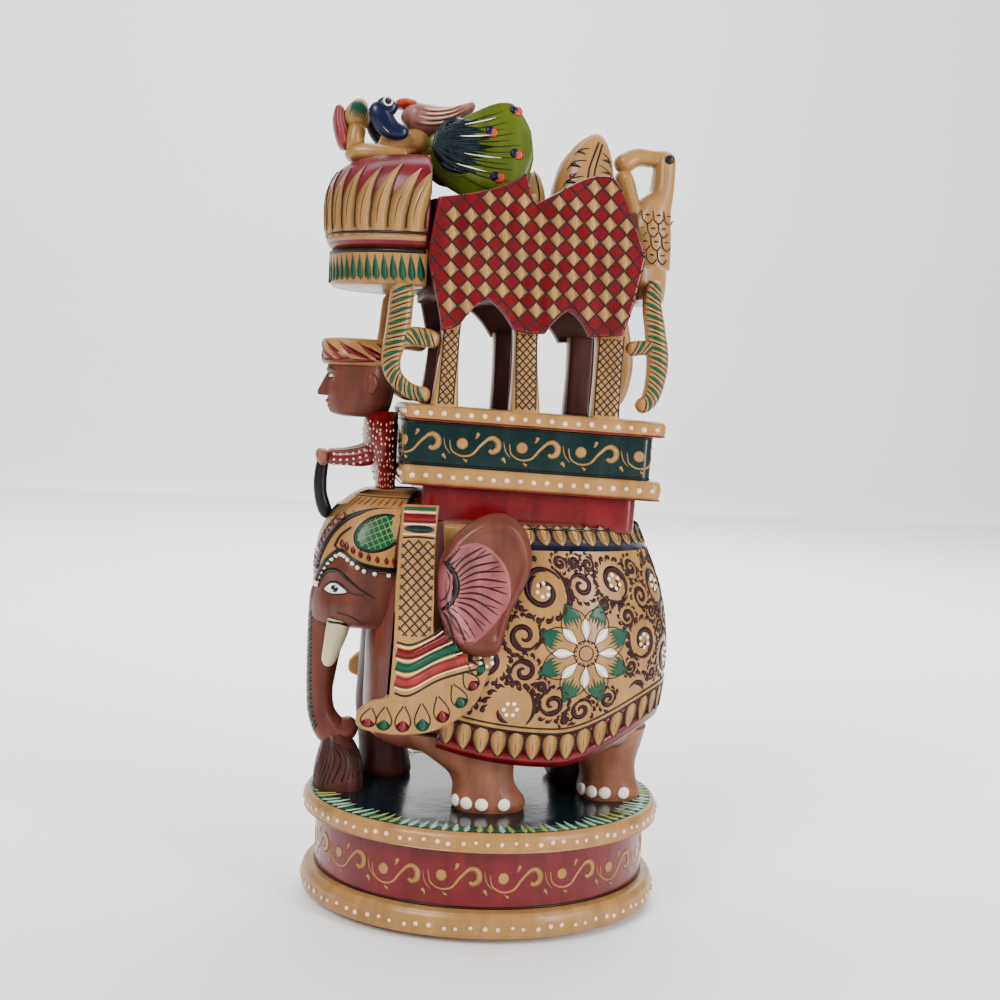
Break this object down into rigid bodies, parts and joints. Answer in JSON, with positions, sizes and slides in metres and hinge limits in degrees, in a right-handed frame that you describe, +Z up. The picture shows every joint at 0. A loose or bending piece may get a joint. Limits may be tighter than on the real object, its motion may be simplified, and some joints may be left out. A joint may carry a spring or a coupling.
{
  "type": "carved wooden elephant",
  "caption": "Painted wooden elephant carrying a mahout and a pillared howdah with a lotus balcony and peacocks, on an oval plinth; a free-standing ornament.",
  "frame": {"origin": "on the resting plane, under the middle of the object's bounding box, which is the middle of the oval plinth", "axes": "+Z up; the elephant walks towards -X; its left flank, the side with the painted detail described, faces -Y"},
  "size_m": [0.1117, 0.098, 0.2394],
  "materials": {
    "body": "brown paint under satin varnish",
    "canopy_roof": "gold-ochre paint under semi-gloss varnish",
    "drape_left": "crimson paint under gloss varnish",
    "drape_right": "crimson paint under gloss varnish",
    "ear_left": "brown paint under satin varnish",
    "ear_right": "brown paint under satin varnish",
    "flower_bed": "gold-ochre paint under semi-gloss varnish",
    "flower_bud": "pink and green paint",
    "forehead_cloth": "gold-ochre paint under semi-gloss varnish",
    "front_bracket_left": "gold-ochre paint under semi-gloss varnish",
    "front_bracket_right": "gold-ochre paint under semi-gloss varnish",
    "front_collar": "gold-ochre paint under semi-gloss varnish",
    "front_column_left": "gold-ochre paint under semi-gloss varnish",
    "front_column_right": "gold-ochre paint under semi-gloss varnish",
    "front_left_leg": "brown paint under satin varnish",
    "front_lotus": "gold-ochre paint under semi-gloss varnish",
    "front_right_leg": "brown paint under satin varnish",
    "goad": "black paint",
    "grass_sheaf": "brown stained wood under satin varnish",
    "head": "brown paint under satin varnish",
    "hind_left_leg": "brown paint under satin varnish",
    "hind_right_leg": "brown paint under satin varnish",
    "howdah_frieze": "dark teal paint under gloss varnish",
    "howdah_lower_moulding": "gold-ochre paint under semi-gloss varnish",
    "howdah_upper_moulding": "gold-ochre paint under semi-gloss varnish",
    "mahout_arm_left": "crimson paint under gloss varnish",
    "mahout_arm_right": "crimson paint under gloss varnish",
    "mahout_body": "crimson paint under gloss varnish",
    "mahout_head": "brown paint under satin varnish",
    "middle_column_left": "gold-ochre paint under semi-gloss varnish",
    "middle_column_right": "gold-ochre paint under semi-gloss varnish",
    "peacock_backs": "mauve paint",
    "peacock_left": "deep blue paint under gloss varnish",
    "peacock_right": "deep blue paint under gloss varnish",
    "peacock_tail_left": "olive green paint",
    "peacock_tail_right": "olive green paint",
    "plinth_bottom_moulding": "gold-ochre paint under semi-gloss varnish",
    "plinth_top_moulding": "gold-ochre paint under semi-gloss varnish",
    "plinth_waist": "crimson paint under gloss varnish",
    "rear_bird": "gold-ochre paint under semi-gloss varnish",
    "rear_bracket_left": "gold-ochre paint under semi-gloss varnish",
    "rear_bracket_right": "gold-ochre paint under semi-gloss varnish",
    "rear_collar": "gold-ochre paint under semi-gloss varnish",
    "rear_column_left": "gold-ochre paint under semi-gloss varnish",
    "rear_column_right": "gold-ochre paint under semi-gloss varnish",
    "roof_leaf": "gold-ochre paint under semi-gloss varnish",
    "roof_ridge": "gold-ochre paint under semi-gloss varnish",
    "saddle_cloth": "gold-ochre paint under semi-gloss varnish",
    "saddle_pad": "crimson paint under gloss varnish",
    "shoulder_hanging_left": "gold-ochre paint under semi-gloss varnish",
    "shoulder_hanging_right": "gold-ochre paint under semi-gloss varnish",
    "trunk": "brown paint under satin varnish",
    "turban": "crimson paint under gloss varnish",
    "tusk_left": "ivory-white paint",
    "tusk_right": "ivory-white paint"
  },
  "bodies": {
    "root": {"body": "body", "canopy_roof": "canopy_roof", "drape_left": "drape_left", "drape_right": "drape_right", "ear_left": "ear_left", "ear_right": "ear_right", "flower_bed": "flower_bed", "flower_bud": "flower_bud", "forehead_cloth": "forehead_cloth", "front_bracket_left": "front_bracket_left", "front_bracket_right": "front_bracket_right", "front_collar": "front_collar", "front_column_left": "front_column_left", "front_column_right": "front_column_right", "front_left_leg": "front_left_leg", "front_lotus": "front_lotus", "front_right_leg": "front_right_leg", "goad": "goad", "grass_sheaf": "grass_sheaf", "head": "head", "hind_left_leg": "hind_left_leg", "hind_right_leg": "hind_right_leg", "howdah_frieze": "howdah_frieze", "howdah_lower_moulding": "howdah_lower_moulding", "howdah_upper_moulding": "howdah_upper_moulding", "mahout_arm_left": "mahout_arm_left", "mahout_arm_right": "mahout_arm_right", "mahout_body": "mahout_body", "mahout_head": "mahout_head", "middle_column_left": "middle_column_left", "middle_column_right": "middle_column_right", "peacock_backs": "peacock_backs", "peacock_left": "peacock_left", "peacock_right": "peacock_right", "peacock_tail_left": "peacock_tail_left", "peacock_tail_right": "peacock_tail_right", "plinth_bottom_moulding": "plinth_bottom_moulding", "plinth_top_moulding": "plinth_top_moulding", "plinth_waist": "plinth_waist", "rear_bird": "rear_bird", "rear_bracket_left": "rear_bracket_left", "rear_bracket_right": "rear_bracket_right", "rear_collar": "rear_collar", "rear_column_left": "rear_column_left", "rear_column_right": "rear_column_right", "roof_leaf": "roof_leaf", "roof_ridge": "roof_ridge", "saddle_cloth": "saddle_cloth", "saddle_pad": "saddle_pad", "shoulder_hanging_left": "shoulder_hanging_left", "shoulder_hanging_right": "shoulder_hanging_right", "trunk": "trunk", "turban": "turban", "tusk_left": "tusk_left", "tusk_right": "tusk_right"}
  },
  "joints": []
}
